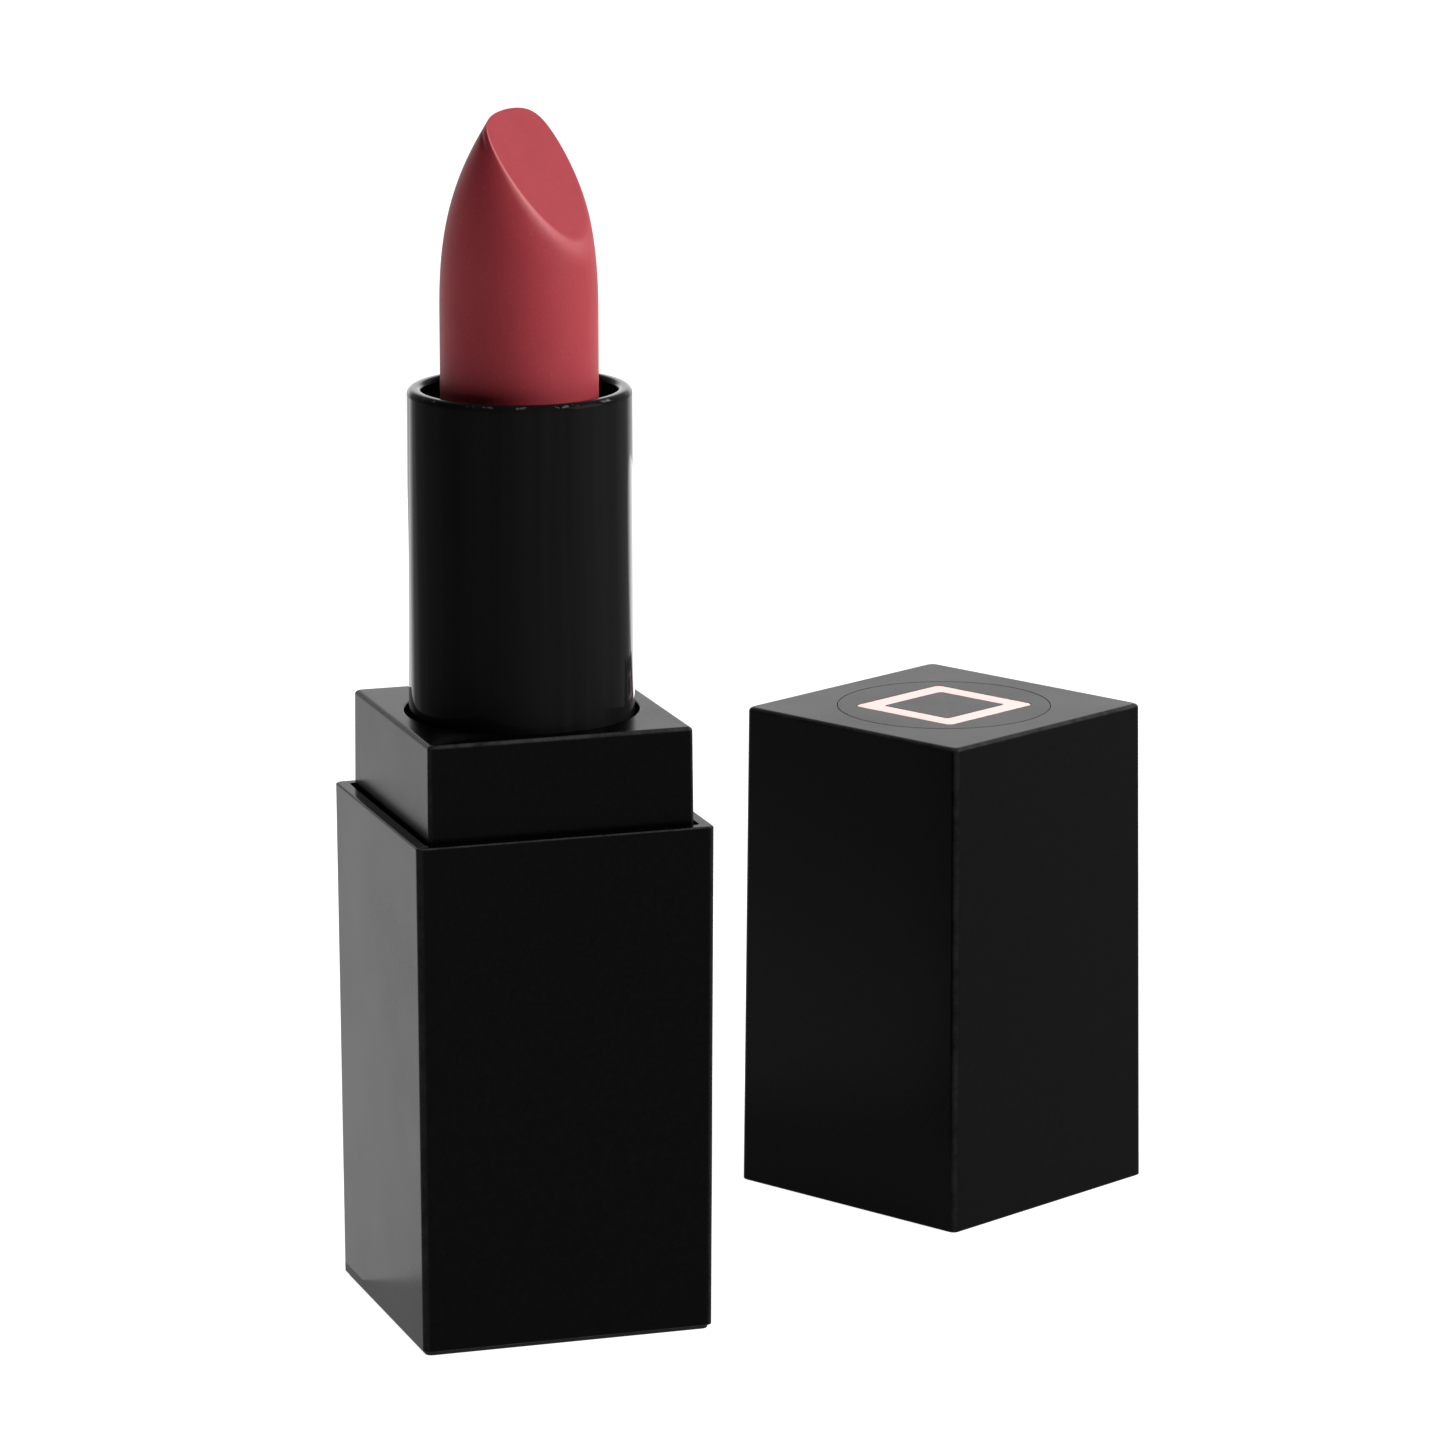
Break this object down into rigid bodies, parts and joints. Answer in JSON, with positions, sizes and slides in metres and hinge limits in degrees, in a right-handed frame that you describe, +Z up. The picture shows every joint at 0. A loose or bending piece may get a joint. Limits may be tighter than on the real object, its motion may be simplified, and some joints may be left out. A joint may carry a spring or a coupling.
{
  "type": "lipstick case",
  "caption": "Square lipstick case with a twist-up bullet in a round turning tube, and a square cap standing beside it.",
  "frame": {"origin": "centre of the base's foot, on the surface the case stands on", "axes": "+Z up along the tube's axis, +X towards the side the cap stands on, with the base's sides along X and Y"},
  "size_m": [0.064, 0.0457, 0.0856],
  "materials": {
    "satin_black": "satin",
    "moulded_black": "fine matt",
    "gloss_black": "polished",
    "label": "blank film",
    "steel": "plated",
    "silicone": "soft",
    "white_plastic": "moulded",
    "natural_plastic": "moulded",
    "lipstick": "waxy satin",
    "cap_disc": "smooth",
    "pink_foil": "foil"
  },
  "bodies": {
    "base": {"base_shell": "satin_black", "base_plate": "moulded_black", "shade_label": "label", "weight": "steel", "base_insert": "moulded_black", "collar": "satin_black", "torque_ring": "silicone", "inner_body": "white_plastic"},
    "tube": {"outer_tube": "gloss_black", "spiral": "natural_plastic"},
    "stick": {"cup": "moulded_black", "bullet": "lipstick"},
    "cap": {"cap_shell": "satin_black", "cap_liner": "moulded_black", "cap_disc": "cap_disc", "cap_emblem": "pink_foil"}
  },
  "joints": [
    {"name": "tube_twist", "type": "hinge", "parent": "base", "child": "tube", "pos_m": [0, 0, 0.0434], "axis": [0, 0, 1], "range_deg": [-72, 828]},
    {"name": "stick_lift", "type": "slide", "parent": "base", "child": "stick", "axis": [0, 0, 1], "range_m": [-0.0207, 0.0018]},
    {"name": "cap_lift", "type": "slide", "parent": "base", "child": "cap", "axis": [0, 0, 1], "range_m": [0, 0.09]}
  ],
  "couplings": [
    {"joint": "stick_lift", "follows": "tube_twist", "m_per_rad": -0.0014324}
  ]
}
